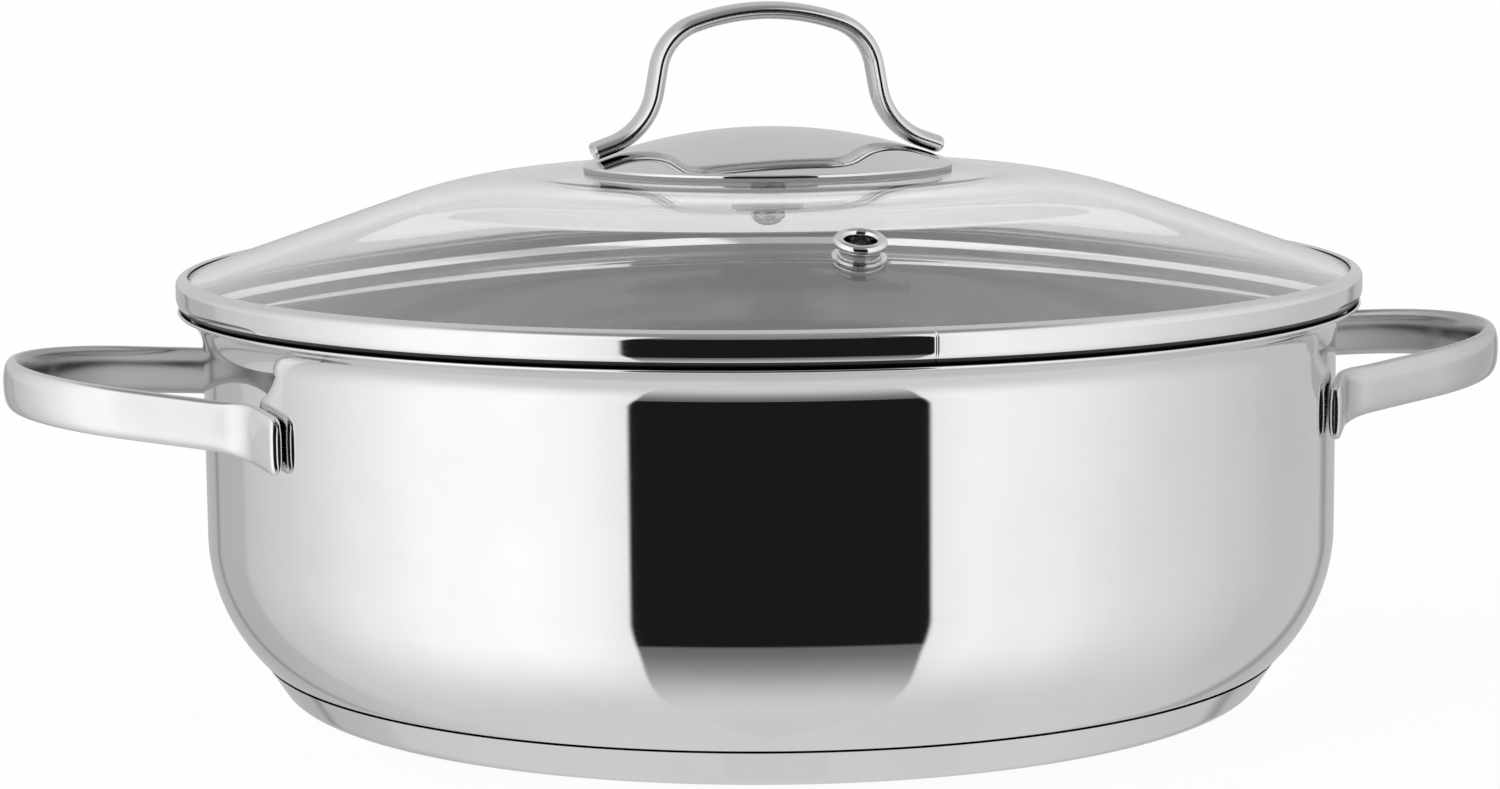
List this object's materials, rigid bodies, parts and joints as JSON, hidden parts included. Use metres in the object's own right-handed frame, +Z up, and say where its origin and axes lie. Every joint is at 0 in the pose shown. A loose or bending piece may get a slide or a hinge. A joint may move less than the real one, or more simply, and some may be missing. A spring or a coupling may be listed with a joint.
{
  "type": "cooking pot with lid",
  "caption": "Low, wide stainless steel casserole with a capsule base, a flared rim, bent strap side handles and a domed glass lid with a steel band, steam vent and loop handle that lifts off.",
  "frame": {"origin": "centre of the base cap's underside, where the pot stands", "axes": "+X through the side handles to the right one, +Y to the back, away from the steam vent, +Z up through the lid handle"},
  "size_m": [0.3778, 0.294, 0.1697],
  "materials": {
    "polished_steel": "mirror polished stainless steel with faint turning lines",
    "handle_steel": "polished stainless steel strap with rounded edges",
    "plain_steel": "plain turned stainless steel",
    "heat_disc": "bare rolled aluminium",
    "clear_glass": "clear toughened glass with a faint green-grey tint",
    "silicone": "matte translucent silicone"
  },
  "bodies": {
    "pot": {"pot_body": "polished_steel", "base_core": "heat_disc", "base_cap": "polished_steel", "side_handle_left": "handle_steel", "side_handle_right": "handle_steel"},
    "lid": {"lid_glass": "clear_glass", "lid_band": "polished_steel", "vent_eyelet": "polished_steel", "vent_ring": "plain_steel", "lid_handle_loop": "handle_steel", "lid_handle_disc": "polished_steel", "disc_gasket": "silicone", "disc_stud": "plain_steel", "hole_bush": "silicone", "clamp_washer": "plain_steel", "domed_nut": "plain_steel"}
  },
  "joints": [
    {"name": "lid_lift", "type": "slide", "parent": "pot", "child": "lid", "axis": [0, 0, 1], "range_m": [0, 0.15]}
  ]
}
